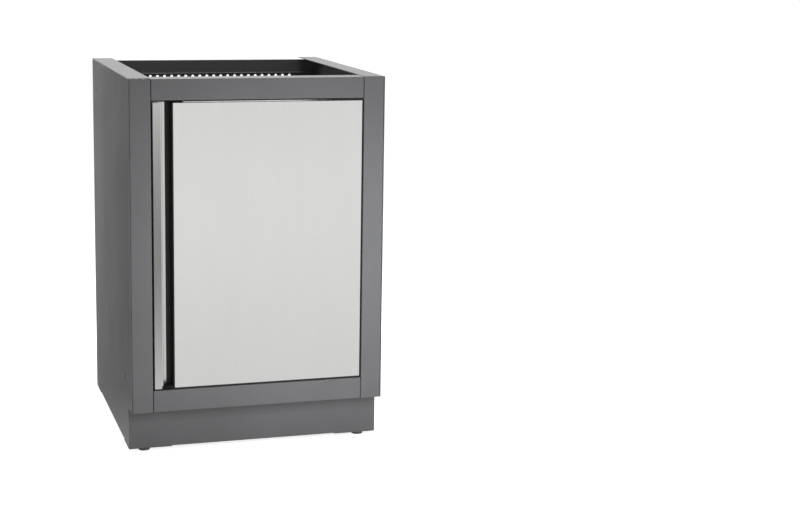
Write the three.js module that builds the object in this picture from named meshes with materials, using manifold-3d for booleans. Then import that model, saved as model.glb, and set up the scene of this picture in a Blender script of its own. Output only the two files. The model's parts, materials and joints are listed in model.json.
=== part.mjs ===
// A free-standing sheet-metal base cabinet with one inset door, in millimetres, +Z up.
// The front faces -Y and left is -X. The origin is on the floor, under the middle of the cabinet.
import * as THREE from "three";
import { mergeVertices } from "three/addons/utils/BufferGeometryUtils.js";
import Module from "manifold-3d";

const wasm = await Module();
wasm.setup();

// Overall sizes
const cabinetWidth = 610;
const cabinetDepth = 648;
const faceHeight = 787.4;
const toeHeight = 101.6;
const toeRecess = 51;
const floorGap = 8;

// Clearances
const seat = 0.3;
const overrun = 4;

// Frame sheet: sides, stiles, rails, back, floor and toe kick
const frameSheet = 1.5;
const frameBend = 2.2;
const bendSteps = 4;
const slotSteps = 6;
const frameSeam = 0.9;

// Side panels
const topFlange = 51;
const baseFlange = 25;

// Stiles
const stileWidth = 51;
const stileReturn = 34;
const jambDepth = 32;
const stopWidth = 12;

// Rails
const topRailHeight = 51;
const bottomRailHeight = 52;
const railDrop = 1;
const railTopFlange = 51;
const railReturn = 45;
const railTab = 24;
const railTabInset = 2.4;
const toeLap = 20;
const toeBaseReturn = 9;

// Back, with its row of vents, and the rail at its top
const backDrop = 6.5;
const backReturn = 20;
const backBaseReturn = 15;
const ventCount = 25;
const ventPitch = 19.05;
const ventWidth = 8;
const ventLength = 46;
const ventDrop = 46;
const rearRailHeight = 36;
const rearRailLip = 8;

// Floor tray
const floorFlange = 38;
const floorFrontGap = 1;

// Side fasteners and the oval knock-outs where neighbouring cabinets are bolted together
const sideScrewRear = 11;
const sideScrewTopDrop = 73;
const sideScrewRise = 173;
const floorScrewBack = 58;
const floorScrewRise = 177;
const sideScrewLength = 4.6;
const knockoutWidth = 8;
const knockoutLength = 16;
const knockoutSunk = 0.5;
const knockoutFront = 98;
const knockoutRear = 72;
const knockoutTopDrop = 76;
const knockoutRise = 168;

// Shelf and the angles that carry it
const shelfHeight = 500;
const shelfFlange = 22;
const shelfFront = 84;
const shelfRearGap = 48;
const shelfSideGap = 1;
const shelfAngleLeg = 22;
const shelfAngleRise = 30;

// Screws with a shallow head
const screwHeadRadius = 3.6;
const screwHeadHeight = 0.9;
const screwRadius = 2;
const screwLength = 8;
const screwSides = 10;

// Feet and the plates that carry them
const plateThickness = 1.6;
const plateLength = 103;
const plateDepth = 80;
const nutRadius = 9.8;
const nutHeight = 8;
const nutSides = 6;
const footInset = 39.3;
const footBehindToe = 20;
const footTravel = 20;
const padRadius = 13.75;
const padHeight = 7;
const padEdge = 0.9;
const padSocket = 3.2;
const padSides = 20;
const studRadius = 5;
const studSides = 16;
const studSpare = 8;

// Door: a skin folded as a pan, closed behind by a second pan
const doorSideGap = 4;
const doorHingeGap = 3.5;
const doorTopGap = 5.4;
const doorBottomGap = 3.8;
const doorSheet = 1.2;
const doorBend = 3;
const doorReturn = 27.5;
const slitInset = 26;
const slitWidth = 5;
const innerEdge = 0.6;
const innerFlange = 11.8;
const innerBend = 2.4;

// Handle: a channel the full height of the door, and the liner beside it
const handleSheet = 1.5;
const handleBend = 2.5;
const handleFace = 21;
const handleLip = 6;
const handleRear = 31.5;
const fingerGap = 26;
const linerSheet = 1.5;
const linerBend = 1.8;
const linerSetback = 2.6;
const capRise = 6.8;
const capFloor = 3;
const capOverlap = 3.6;
const capSetback = 0.8;
const handleScrewInset = 15;
const handleScrewSpacing = 500;
const handleScrewLength = 4;

// Pivots of the door
const pivotInset = 14;
const pivotSetback = 9;
const pinRadius = 3;
const pinReach = 14;
const pivotSides = 16;
const bushRadius = 5;
const bushFlangeRadius = 7;
const bushFlange = 0.9;
const blockWidth = 26.5;
const blockHeight = 12;
const hingePlateThickness = 2;
const hingePlateInner = 34;
const hingePlateOuter = 12;
const hingePlateFront = 6.5;
const hingePlateRear = 24;
const hingeScrewInner = 22;
const hingeScrewPitch = 14;
const hingeScrewRear = 2;

// Catch, strike and bumpers
const catchInset = 105;
const catchWidth = 48;
const catchHeight = 18;
const catchDepth = 12.5;
const catchGap = 2.5;
const catchPegRadius = 2.2;
const catchPegHeight = 4;
const catchPegSpacing = 36;
const magnetWidth = 32;
const magnetHeight = 8;
const magnetDepth = 8;
const magnetGap = 1.6;
const strikeWidth = 34;
const strikeHeight = 11;
const strikeThickness = 1;
const bumperRadius = 4;
const bumperInset = 3.5;
const bumperEnd = 60;
const bumperSides = 16;

// Places worked out from the sizes above
const halfWidth = cabinetWidth / 2;
const yFront = -cabinetDepth / 2;
const yRear = cabinetDepth / 2;
const zPlinth = floorGap + plateThickness + seat;
const zFace = floorGap + toeHeight;
const zTop = zFace + faceHeight;
const xInside = halfWidth - frameSheet;
const xJamb = halfWidth - stileWidth;
const xRail = xJamb - frameSeam;
const yToe = yFront + toeRecess;
const zTopRail = zTop - topRailHeight;
const zBottomRail = zFace + bottomRailHeight;
const zFloor = zBottomRail - frameSheet - seat;
const yJambEnd = yFront + jambDepth;

const doorLeft = -xJamb + doorSideGap;
const doorRight = xJamb - doorHingeGap;
const doorBottom = zBottomRail + doorBottomGap;
const doorTop = zTopRail - doorTopGap;
const skinLeft = doorLeft + handleFace + fingerGap;
const yDoorInner = yFront + doorReturn + seat;
const yDoorRear = yDoorInner + doorSheet;
const pivotX = doorRight - pivotInset;
const pivotY = yFront + pivotSetback;
const screwHole = screwRadius + seat;
const screwRecess = screwHeadRadius + seat;

// Fastener places, the catch and its magnet
const railScrewY = yFront + railTab / 2 + frameBend;
const railScrewHeights = [zTopRail + topRailHeight / 2, zFace + bottomRailHeight / 2];
const hingeScrewPlaces = [hingeScrewRear, hingeScrewRear + hingeScrewPitch].map((back) => [
  pivotX - hingeScrewInner,
  pivotY + back,
]);
const catchX = -halfWidth + catchInset;
const catchFront = yDoorRear + catchGap;
const catchPegPlaces = [-1, 1].map((side) => [
  catchX + (side * catchPegSpacing) / 2,
  catchFront + catchDepth / 2,
]);
const handleScrewPlaces = [-1, 1].map((side) => [
  doorLeft + handleScrewInset,
  (doorBottom + doorTop + side * handleScrewSpacing) / 2,
]);
const magnetLow = zTopRail - seat - catchHeight + frameSheet;

// Places of the fasteners and knock-outs in a side, as depth and height
const sideScrews = {
  rear_top: [yRear - sideScrewRear, zTop - sideScrewTopDrop],
  rear_bottom: [yRear - sideScrewRear, floorGap + sideScrewRise],
  front_bottom: [yFront + floorScrewBack, floorGap + floorScrewRise],
};
const knockouts = [yFront + knockoutFront, yRear - knockoutRear].flatMap((y) => [
  [y, zTop - knockoutTopDrop],
  [y, floorGap + knockoutRise],
]);

// Surfaces
const finishes = {
  frame: { color: 0x6b6b6d, roughness: 0.55, metalness: 0.15 },
  stainless: { color: 0xcfcecd, roughness: 0.32, metalness: 0.9 },
  steel: { color: 0x9a9a98, roughness: 0.4, metalness: 0.85 },
  liner: { color: 0x1b1a19, roughness: 0.6, metalness: 0 },
  rubber: { color: 0x222222, roughness: 0.85, metalness: 0 },
  nylon: { color: 0x35353a, roughness: 0.6, metalness: 0 },
  magnet: { color: 0x4a4a4c, roughness: 0.5, metalness: 0.6 },
};
const materials = {};
for (const [name, look] of Object.entries(finishes)) {
  materials[name] = new THREE.MeshStandardMaterial(look);
}

// Geometry to solid and back
function solid(geometry) {
  const bare = geometry.clone();
  bare.deleteAttribute("normal");
  bare.deleteAttribute("uv");
  const merged = mergeVertices(bare);
  return new wasm.Manifold(
    new wasm.Mesh({
      numProp: 3,
      vertProperties: new Float32Array(merged.attributes.position.array),
      triVerts: new Uint32Array(merged.index.array),
    }),
  );
}

function geometryOf(body) {
  const data = body.getMesh();
  const geometry = new THREE.BufferGeometry();
  geometry.setAttribute("position", new THREE.BufferAttribute(data.vertProperties, 3));
  geometry.setIndex(new THREE.BufferAttribute(data.triVerts, 1));
  geometry.computeVertexNormals();
  return geometry;
}

function joined(bodies) {
  return bodies.reduce((whole, body) => whole.add(body));
}

function cut(body, tools) {
  return tools.reduce((left, tool) => left.subtract(tool), body);
}

// A block between two values along each axis
function block([x0, x1], [y0, y1], [z0, z1]) {
  const geometry = new THREE.BoxGeometry(x1 - x0, y1 - y0, z1 - z0);
  geometry.translate((x0 + x1) / 2, (y0 + y1) / 2, (z0 + z1) / 2);
  return solid(geometry);
}

// The three planes that an outline can be drawn in, as the images of its two axes and its depth
const planes = {
  XY: [new THREE.Vector3(1, 0, 0), new THREE.Vector3(0, 1, 0), new THREE.Vector3(0, 0, 1)],
  YZ: [new THREE.Vector3(0, 1, 0), new THREE.Vector3(0, 0, 1), new THREE.Vector3(1, 0, 0)],
  ZX: [new THREE.Vector3(0, 0, 1), new THREE.Vector3(1, 0, 0), new THREE.Vector3(0, 1, 0)],
};

// An outline pushed along the third axis from one value to another
function extruded(outline, plane, [from, to]) {
  const shape = new THREE.Shape(outline.map(([a, b]) => new THREE.Vector2(a, b)));
  const geometry = new THREE.ExtrudeGeometry(shape, {
    depth: to - from,
    bevelEnabled: false,
    steps: 1,
  });
  geometry.translate(0, 0, from);
  geometry.applyMatrix4(new THREE.Matrix4().makeBasis(...planes[plane]));
  return solid(geometry);
}

// A round bar along an axis, through a point given by its other two coordinates
function bar(radius, sides, axis, centre, [from, to]) {
  const geometry = new THREE.CylinderGeometry(radius, radius, to - from, sides);
  if (axis === "x") {
    geometry.rotateZ(-Math.PI / 2);
    geometry.translate((from + to) / 2, centre[0], centre[1]);
  } else if (axis === "y") {
    geometry.translate(centre[0], (from + to) / 2, centre[1]);
  } else {
    geometry.rotateX(Math.PI / 2);
    geometry.translate(centre[0], centre[1], (from + to) / 2);
  }
  return solid(geometry);
}

// A turned body about the vertical axis, from its half profile
function turned(profile, sides) {
  const geometry = new THREE.LatheGeometry(
    profile.map(([r, z]) => new THREE.Vector2(r, z)),
    sides,
  );
  geometry.rotateX(Math.PI / 2);
  return solid(geometry);
}

// The closed outline of a bent sheet. The path is one face of the sheet, with the metal on its left.
function bentOutline(path, thickness, bend) {
  const near = [];
  const far = [];
  path.forEach(([x, y], i) => {
    const before = path[i - 1];
    const after = path[i + 1];
    const heading = (p, q) => {
      const length = Math.hypot(q[0] - p[0], q[1] - p[1]);
      return [(q[0] - p[0]) / length, (q[1] - p[1]) / length];
    };
    const start = heading(before ?? [x, y], before ? [x, y] : after);
    const end = heading(after ? [x, y] : before, after ?? [x, y]);
    if (!before || !after) {
      near.push([x, y]);
      far.push([x - thickness * start[1], y + thickness * start[0]]);
      return;
    }
    const turn = Math.sign(start[0] * end[1] - start[1] * end[0]);
    const nearRadius = turn > 0 ? bend : bend - thickness;
    const farRadius = turn > 0 ? bend - thickness : bend;
    const centre = [
      x + turn * nearRadius * (-start[1] - end[1]),
      y + turn * nearRadius * (start[0] + end[0]),
    ];
    for (let step = 0; step <= bendSteps; step += 1) {
      const angle = (step / bendSteps) * (Math.PI / 2);
      const outX = turn * (start[1] * Math.cos(angle) + end[1] * Math.sin(angle));
      const outY = -turn * (start[0] * Math.cos(angle) + end[0] * Math.sin(angle));
      near.push([centre[0] + nearRadius * outX, centre[1] + nearRadius * outY]);
      far.push([centre[0] + farRadius * outX, centre[1] + farRadius * outY]);
    }
  });
  return [...near, ...far.reverse()];
}

// A rectangle with its two upper corners rounded
function roundedTop([a0, a1], [b0, b1], radius) {
  const points = [
    [a0, b0],
    [a1, b0],
  ];
  for (let step = 0; step <= bendSteps; step += 1) {
    const angle = (step / bendSteps) * (Math.PI / 2);
    points.push([a1 - radius + radius * Math.cos(angle), b1 - radius + radius * Math.sin(angle)]);
  }
  for (let step = 0; step <= bendSteps; step += 1) {
    const angle = (step / bendSteps) * (Math.PI / 2);
    points.push([a0 + radius - radius * Math.sin(angle), b1 - radius + radius * Math.cos(angle)]);
  }
  return points;
}

// A block with its face up at zero and the four edges of that face rounded
function softBlock(xs, ys, depth, radius) {
  const across = extruded(
    roundedTop(ys, [-depth, 0], radius),
    "YZ",
    xs,
  );
  const along = extruded(
    roundedTop(xs, [-depth, 0], radius).map(([x, z]) => [z, x]),
    "ZX",
    ys,
  );
  return across.intersect(along);
}

// A tray with its face up at zero and four flanges that go down from it
function pan([x0, x1], [y0, y1], depth, thickness, bend) {
  const outer = softBlock([x0, x1], [y0, y1], depth, bend);
  const inner = softBlock(
    [x0 + thickness, x1 - thickness],
    [y0 + thickness, y1 - thickness],
    depth + overrun,
    bend - thickness,
  ).translate([0, 0, -thickness]);
  return outer.subtract(inner);
}

// A slot with round ends, its length along the first axis of the plane
function slotOutline(centreA, centreB, length, width) {
  const radius = width / 2;
  const reach = length / 2 - radius;
  const points = [];
  for (const side of [1, -1]) {
    for (let step = 0; step <= slotSteps; step += 1) {
      const angle = (step / slotSteps) * Math.PI - Math.PI / 2;
      points.push([
        centreA + side * (reach + radius * Math.cos(angle)),
        centreB + side * radius * Math.sin(angle),
      ]);
    }
  }
  return points;
}

// The same outline with its two axes exchanged
function swapped(outline) {
  return outline.map(([a, b]) => [b, a]);
}

// A span that runs past a place on both sides, for a cut
function around(place) {
  return [place - overrun, place + overrun];
}

// The span of a sheet that ends at a place and lies on its inner side
function sheetAt(place, thickness) {
  const inner = place - Math.sign(place) * thickness;
  return [Math.min(place, inner), Math.max(place, inner)];
}

// A named mesh of a solid, in a finish
function piece(name, body, finish) {
  const mesh = new THREE.Mesh(geometryOf(body), materials[finish]);
  mesh.name = name;
  return mesh;
}

// The same solid on the other side of the cabinet
function mirroredPiece(name, body, finish) {
  const mesh = piece(name, body, finish);
  mesh.scale.x = -1;
  return mesh;
}

// Side panel: a sheet with a flange over the stile and along the top, another at the base,
// and a notch at the toe
function sidePanel() {
  const outline = bentOutline(
    [
      [zPlinth, -halfWidth + baseFlange],
      [zPlinth, -halfWidth],
      [zTop, -halfWidth],
      [zTop, -halfWidth + topFlange],
    ],
    frameSheet,
    frameBend,
  );
  const sheet = extruded(outline, "ZX", [yFront, yRear]);
  const notch = block(
    [-halfWidth - overrun, -halfWidth + baseFlange + overrun],
    [yFront - overrun, yToe + frameSheet + seat],
    [zPlinth - overrun, zFace],
  );
  const backRelief = block(
    [-xInside, -halfWidth + baseFlange + overrun],
    [yRear - backReturn - seat, yRear + overrun],
    [zPlinth - overrun, zPlinth + frameBend + seat],
  );
  const outside = -halfWidth - overrun;
  const inside = -xInside + overrun;
  const screwCuts = Object.values(sideScrews).flatMap((place) => [
    bar(screwHole, screwSides, "x", place, [outside, inside]),
    bar(screwRecess, screwSides, "x", place, [outside, -halfWidth + screwHeadHeight + seat / 2]),
  ]);
  const ovals = knockouts.map(([y, z]) => {
    const outline = slotOutline(z, y, knockoutLength, knockoutWidth);
    return extruded(swapped(outline), "YZ", [outside, -halfWidth + knockoutSunk]);
  });
  return cut(sheet, [notch, backRelief, ...screwCuts, ...ovals]);
}

// Stile: a channel with its outer return inside the side panel and its jamb at the door.
// The latch side also has a stop that the door closes against.
function stile(withStop) {
  const xOuter = -xInside + seat;
  const path = [
    [xOuter, yFront + stileReturn],
    [xOuter, yFront],
    [-xJamb, yFront],
    [-xJamb, yJambEnd],
  ];
  if (withStop) {
    path.push([-xJamb + stopWidth, yJambEnd]);
  }
  const zUpper = zTop - frameSheet - seat;
  const outline = bentOutline(path, frameSheet, frameBend);
  const channel = extruded(outline, "XY", [zFace, zUpper]);
  const foot = block(
    [xOuter, -xJamb - frameSheet / 2],
    [yFront + frameSheet / 2, yToe + toeLap],
    [zFace, zFace + frameSheet],
  );
  const holes = railScrewHeights.map((z) =>
    bar(screwHole, screwSides, "x", [railScrewY, z], around(-xJamb)),
  );
  const stopCuts = [
    [zFace - overrun, zBottomRail + seat],
    [zTopRail - seat, zUpper + overrun],
  ].map((zs) =>
    block(
      [-xJamb, -xJamb + stopWidth + overrun],
      [yFront + frameBend, yJambEnd + overrun],
      zs,
    ),
  );
  return cut(joined([channel, foot]), [...holes, ...stopCuts]);
}

// Rails between the stiles, each a channel open to the back, with a tab bent back at each end
function rail(path, [zLow, zHigh], screwZ) {
  const channel = extruded(bentOutline(path, frameSheet, frameBend), "YZ", [-xRail, xRail]);
  const tabs = [-1, 1].map((side) =>
    block(
      sheetAt(side * xRail, frameSheet),
      [yFront + frameSheet / 2, yFront + railTab + frameBend],
      [zLow + railTabInset, zHigh - railTabInset],
    ),
  );
  const holes = [-1, 1].map((side) =>
    bar(screwHole, screwSides, "x", [railScrewY, screwZ], around(side * xRail)),
  );
  const yDeep = yFront + Math.max(railTopFlange, railReturn, toeRecess + toeLap) + overrun;
  const bentEnds = extruded(
    roundedTop([-xRail, xRail], [-yDeep, -yFront], frameBend).map(([x, y]) => [x, -y]),
    "XY",
    [zLow - overrun, zHigh + overrun],
  );
  return cut(joined([channel, ...tabs]).intersect(bentEnds), holes);
}

function topRail() {
  const zHigh = zTop - railDrop;
  const path = [
    [yFront + railTopFlange, zHigh],
    [yFront, zHigh],
    [yFront, zTopRail],
    [yFront + railReturn, zTopRail],
  ];
  const body = rail(path, [zTopRail, zHigh], railScrewHeights[0]);
  const through = around(zTopRail);
  return cut(body, [
    ...hingeScrewPlaces.map((place) => bar(screwHole, screwSides, "z", place, through)),
    ...catchPegPlaces.map((place) => bar(catchPegRadius + seat, screwSides, "z", place, through)),
  ]);
}

function bottomRail() {
  const path = [
    [yFront + railReturn, zBottomRail],
    [yFront, zBottomRail],
    [yFront, zFace],
    [yToe + toeLap, zFace],
  ];
  const body = rail(path, [zFace, zBottomRail], railScrewHeights[1]);
  const through = around(zBottomRail);
  return cut(
    body,
    hingeScrewPlaces.map((place) => bar(screwHole, screwSides, "z", place, through)),
  );
}

// Toe kick: a full-width panel with returns between the side panels
function toeKick() {
  const zHigh = zFace - seat;
  const path = [
    [yToe + toeLap, zHigh],
    [yToe, zHigh],
    [yToe, zPlinth],
    [yToe + toeBaseReturn, zPlinth],
  ];
  const between = xInside - baseFlange;
  const channel = extruded(bentOutline(path, frameSheet, frameBend), "YZ", [-between, between]);
  const face = block([-halfWidth, halfWidth], [yToe, yToe + frameSheet], [zPlinth, zHigh]);
  return joined([channel, face]);
}

// Back: a panel with side returns, a base return and a row of vents near its top
function backPanel() {
  const xEdge = xInside - seat;
  const path = [
    [xEdge, yRear - backReturn],
    [xEdge, yRear],
    [-xEdge, yRear],
    [-xEdge, yRear - backReturn],
  ];
  const zHigh = zTop - backDrop;
  const sheet = extruded(bentOutline(path, frameSheet, frameBend), "XY", [zPlinth, zHigh]);
  const between = xInside - baseFlange;
  const foot = block(
    [-between, between],
    [yRear - backBaseReturn, yRear - frameSheet / 2],
    [zPlinth, zPlinth + frameSheet],
  );
  const ventMiddle = zTop - ventDrop - ventLength / 2;
  const vents = [];
  for (let i = 0; i < ventCount; i += 1) {
    const x = (i - (ventCount - 1) / 2) * ventPitch;
    const outline = slotOutline(ventMiddle, x, ventLength, ventWidth);
    vents.push(extruded(outline, "ZX", [yRear - frameSheet - overrun, yRear + overrun]));
  }
  const holes = [sideScrews.rear_top, sideScrews.rear_bottom].flatMap((place) =>
    [-1, 1].map((side) =>
      bar(screwHole, screwSides, "x", place, around(side * xEdge)),
    ),
  );
  return cut(joined([sheet, foot]), [...vents, ...holes]);
}

// Rail inside the top of the back, with a lip along its lower edge and a tab at each end
function rearTopRail() {
  const yFace = yRear - frameSheet - seat;
  const zHigh = zTop - backDrop - seat;
  const zLow = zTop - backDrop - rearRailHeight;
  const xEnd = xInside - seat - frameSheet - seat;
  const path = [
    [yFace - rearRailLip, zLow],
    [yFace, zLow],
    [yFace, zHigh],
  ];
  const channel = extruded(bentOutline(path, frameSheet, frameBend), "YZ", [-xEnd, xEnd]);
  const tabs = [-1, 1].map((side) =>
    block(
      sheetAt(side * xEnd, frameSheet),
      [yFace - rearRailLip, yFace - frameSheet / 2],
      [zLow + frameSheet / 2, zHigh],
    ),
  );
  return joined([channel, ...tabs]);
}

// Floor: a tray with flanges up the sides and the back
function floorPanel() {
  const xEdge = xInside - seat;
  const yStart = yFront + Math.max(stileReturn, jambDepth + frameSheet) + floorFrontGap;
  const ySides = yRear - backReturn - seat;
  const yEnd = yRear - frameSheet - seat;
  const zLow = zFloor - frameSheet;
  const zHigh = zFloor + floorFlange;
  const path = [
    [zHigh, xEdge],
    [zLow, xEdge],
    [zLow, -xEdge],
    [zHigh, -xEdge],
  ];
  const outline = bentOutline(path, frameSheet, frameBend);
  const tray = extruded(outline, "ZX", [yStart, ySides]);
  const xBetween = xInside - seat - frameSheet - seat;
  const rear = extruded(
    bentOutline(
      [
        [ySides - frameSheet, zLow],
        [yEnd, zLow],
        [yEnd, zHigh],
      ],
      frameSheet,
      frameBend,
    ),
    "YZ",
    [-xBetween, xBetween],
  );
  const holes = [-1, 1].map((side) =>
    bar(screwHole, screwSides, "x", sideScrews.front_bottom, around(side * xEdge)),
  );
  return cut(joined([tray, rear]), holes);
}

// Shelf and its two angles
function shelf() {
  const xEdge = xInside - seat - frameSheet - shelfSideGap;
  return pan(
    [-xEdge, xEdge],
    [yFront + shelfFront, yRear - shelfRearGap],
    shelfFlange,
    frameSheet,
    frameBend,
  ).translate([0, 0, shelfHeight]);
}

function shelfAngle() {
  const zLeg = shelfHeight - shelfFlange - seat;
  const xWall = -xInside + seat;
  const path = [
    [zLeg - frameSheet, xWall + shelfAngleLeg],
    [zLeg - frameSheet, xWall],
    [zLeg - frameSheet + shelfAngleRise, xWall],
  ];
  return extruded(bentOutline(path, frameSheet, frameBend), "ZX", [
    yFront + shelfFront,
    yRear - shelfRearGap,
  ]);
}

// Foot plate with its welded nut, for the front left corner or the rear left one
function footPlate([y0, y1], footY) {
  const footX = -halfWidth + footInset;
  const top = floorGap + plateThickness;
  const plate = block([-halfWidth, -halfWidth + plateLength], [y0, y1], [floorGap, top]);
  const nutSpan = [top - plateThickness / 2, top + nutHeight];
  const nut = bar(nutRadius, nutSides, "z", [footX, footY], nutSpan);
  const bore = bar(studRadius + seat, studSides, "z", [footX, footY], [
    floorGap - overrun,
    top + nutHeight + overrun,
  ]);
  return joined([plate, nut]).subtract(bore);
}

// Foot: a pad and the stud that stands in its socket
function footPad() {
  const profile = [
    [0, 0],
    [padRadius - padEdge, 0],
    [padRadius, padEdge],
    [padRadius, padHeight - padEdge],
    [padRadius - padEdge, padHeight],
    [studRadius + seat, padHeight],
    [studRadius + seat, padHeight - padSocket],
    [0, padHeight - padSocket],
  ];
  return turned(profile, padSides);
}

function footStud() {
  const bottom = padHeight - padSocket + seat;
  const top = floorGap + plateThickness + nutHeight + footTravel + studSpare;
  return bar(studRadius, studSides, "z", [0, 0], [bottom, top]);
}

// Screw along +Z, with the face of its head at zero and its shank below
function screw(length) {
  const profile = [
    [0, -length],
    [screwRadius, -length],
    [screwRadius, -screwHeadHeight],
    [screwHeadRadius, -screwHeadHeight],
    [screwHeadRadius, 0],
    [0, 0],
  ];
  return turned(profile, screwSides);
}

// Door skin, with the holes for its two bushes and a slit in its top return near the handle
function doorSkin() {
  const xs = [skinLeft, doorRight];
  const body = pan(xs, [doorBottom, doorTop], doorReturn, doorSheet, doorBend);
  const upright = body.rotate([90, 0, 0]).translate([0, yFront, 0]);
  const bores = [doorBottom, doorTop].map((z) =>
    bar(bushRadius + seat, pivotSides, "z", [pivotX, pivotY], around(z)),
  );
  const slit = block(
    [skinLeft + slitInset - slitWidth / 2, skinLeft + slitInset + slitWidth / 2],
    [yFront + doorBend, yFront + doorReturn + overrun],
    [doorTop - doorSheet - seat, doorTop + overrun],
  );
  return cut(upright, [...bores, slit]);
}

// Inner panel of the door, with a flange inside the skin and a margin behind the handle
function doorInner() {
  const xs = [skinLeft + doorSheet + seat, doorRight - doorSheet - seat];
  const zs = [-doorTop + doorSheet + seat, -doorBottom - doorSheet - seat];
  const ring = pan(xs, zs, innerFlange + doorSheet, doorSheet, innerBend)
    .rotate([-90, 0, 0])
    .translate([0, yDoorRear, 0]);
  const sheet = block(
    [doorLeft + handleSheet, doorRight - innerEdge],
    [yDoorInner, yDoorRear],
    [doorBottom + innerEdge, doorTop - innerEdge],
  );
  const holes = handleScrewPlaces.map((place) =>
    bar(screwHole, screwSides, "y", place, around(yDoorRear)),
  );
  return cut(joined([ring, sheet]), holes);
}

// Handle: front face, web, rear flange and a lip along the finger gap
function handleProfile() {
  const yBack = yFront + doorReturn;
  const path = [
    [doorLeft + handleRear, yBack],
    [doorLeft, yBack],
    [doorLeft, yFront],
    [doorLeft + handleFace, yFront],
    [doorLeft + handleFace, yFront + handleLip],
  ];
  const channel = extruded(bentOutline(path, handleSheet, handleBend), "XY", [doorBottom, doorTop]);
  const notch = block(
    [doorLeft + handleFace - capOverlap, doorLeft + handleFace + overrun],
    [yFront - overrun, yFront + handleLip + overrun],
    [doorBottom - overrun, doorBottom + capRise + seat],
  );
  const holes = handleScrewPlaces.map((place) =>
    bar(screwHole, screwSides, "y", place, around(yBack)),
  );
  return cut(channel, [notch, ...holes]);
}

// Liner: a dark angle that closes the recess between the handle and the skin
function handleLiner() {
  const xWall = skinLeft - seat;
  const yBack = yFront + doorReturn;
  const path = [
    [xWall, yFront + linerSetback],
    [xWall, yBack],
    [doorLeft + handleRear + seat, yBack],
  ];
  const outline = bentOutline(path, linerSheet, linerBend);
  return extruded(outline, "XY", [doorBottom, doorTop]);
}

// Cap in the lower end of the recess
function handleCap() {
  const yBack = yFront + doorReturn - handleSheet - seat;
  const xRight = skinLeft - seat - linerSheet - seat;
  const plug = block(
    [doorLeft + handleFace - capOverlap + seat, xRight],
    [yFront + capSetback, yBack],
    [doorBottom, doorBottom + capRise],
  );
  const plate = block(
    [doorLeft + handleSheet + seat, xRight],
    [yFront + handleSheet + seat, yBack],
    [doorBottom, doorBottom + capFloor],
  );
  return joined([plug, plate]);
}

// Pivot block, inside a corner of the skin, with its front edges eased to clear the bends
function pivotBlock(zLow) {
  const xRight = doorRight - doorSheet - seat;
  const yNear = yFront + doorSheet + seat;
  const yFar = yDoorRear - doorSheet - innerFlange - seat;
  const body = softBlock(
    [xRight - blockWidth, xRight],
    [zLow, zLow + blockHeight],
    yFar - yNear,
    doorBend - doorSheet,
  )
    .rotate([90, 0, 0])
    .translate([0, yNear, 0]);
  const zs = [zLow - overrun, zLow + blockHeight + overrun];
  return body.subtract(bar(bushRadius + seat, pivotSides, "z", [pivotX, pivotY], zs));
}

// Flanged bush about the pivot axis, standing on zero with its flange at the bottom
function pivotBush() {
  const length = bushFlange + seat + doorSheet + seat + blockHeight;
  const bore = pinRadius + seat;
  const profile = [
    [bore, 0],
    [bushFlangeRadius, 0],
    [bushFlangeRadius, bushFlange],
    [bushRadius, bushFlange],
    [bushRadius, length],
    [bore, length],
    [bore, 0],
  ];
  return turned(profile, pivotSides);
}

// Hinge plate, standing on zero, with its two screw heads let in from above
function hingePlate() {
  const body = block(
    [pivotX - hingePlateInner, pivotX + hingePlateOuter],
    [pivotY - hingePlateFront, pivotY + hingePlateRear],
    [0, hingePlateThickness],
  );
  const through = [-overrun, hingePlateThickness + overrun];
  const recess = [hingePlateThickness - screwHeadHeight - seat, hingePlateThickness + overrun];
  return cut(body, [
    bar(pinRadius + seat, pivotSides, "z", [pivotX, pivotY], through),
    ...hingeScrewPlaces.flatMap((place) => [
      bar(screwHole, screwSides, "z", place, through),
      bar(screwRecess, screwSides, "z", place, recess),
    ]),
  ]);
}

// Catch: a housing that snaps under the top rail, and the magnet in its front
function catchHousing() {
  const zHigh = zTopRail - seat;
  const body = block(
    [catchX - catchWidth / 2, catchX + catchWidth / 2],
    [catchFront, catchFront + catchDepth],
    [zHigh - catchHeight, zHigh],
  );
  const pegs = catchPegPlaces.map((place) =>
    bar(catchPegRadius, screwSides, "z", place, [zHigh - catchPegRadius, zHigh + catchPegHeight]),
  );
  const pocket = block(
    [catchX - magnetWidth / 2 - seat, catchX + magnetWidth / 2 + seat],
    [catchFront - overrun, yDoorRear + magnetGap + magnetDepth + seat],
    [magnetLow - seat, magnetLow + magnetHeight + seat],
  );
  return joined([body, ...pegs]).subtract(pocket);
}

function catchMagnet() {
  const y0 = yDoorRear + magnetGap;
  return block(
    [catchX - magnetWidth / 2, catchX + magnetWidth / 2],
    [y0, y0 + magnetDepth],
    [magnetLow, magnetLow + magnetHeight],
  );
}

function strikePlate() {
  const middle = Math.min(magnetLow + magnetHeight / 2, doorTop - innerEdge - strikeHeight / 2);
  return block(
    [catchX - strikeWidth / 2, catchX + strikeWidth / 2],
    [yDoorRear + seat, yDoorRear + seat + strikeThickness],
    [middle - strikeHeight / 2, middle + strikeHeight / 2],
  );
}

function bumper(z) {
  const span = [yDoorRear + seat, yJambEnd - seat];
  return bar(bumperRadius, bumperSides, "y", [doorLeft + bumperInset, z], span);
}

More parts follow.
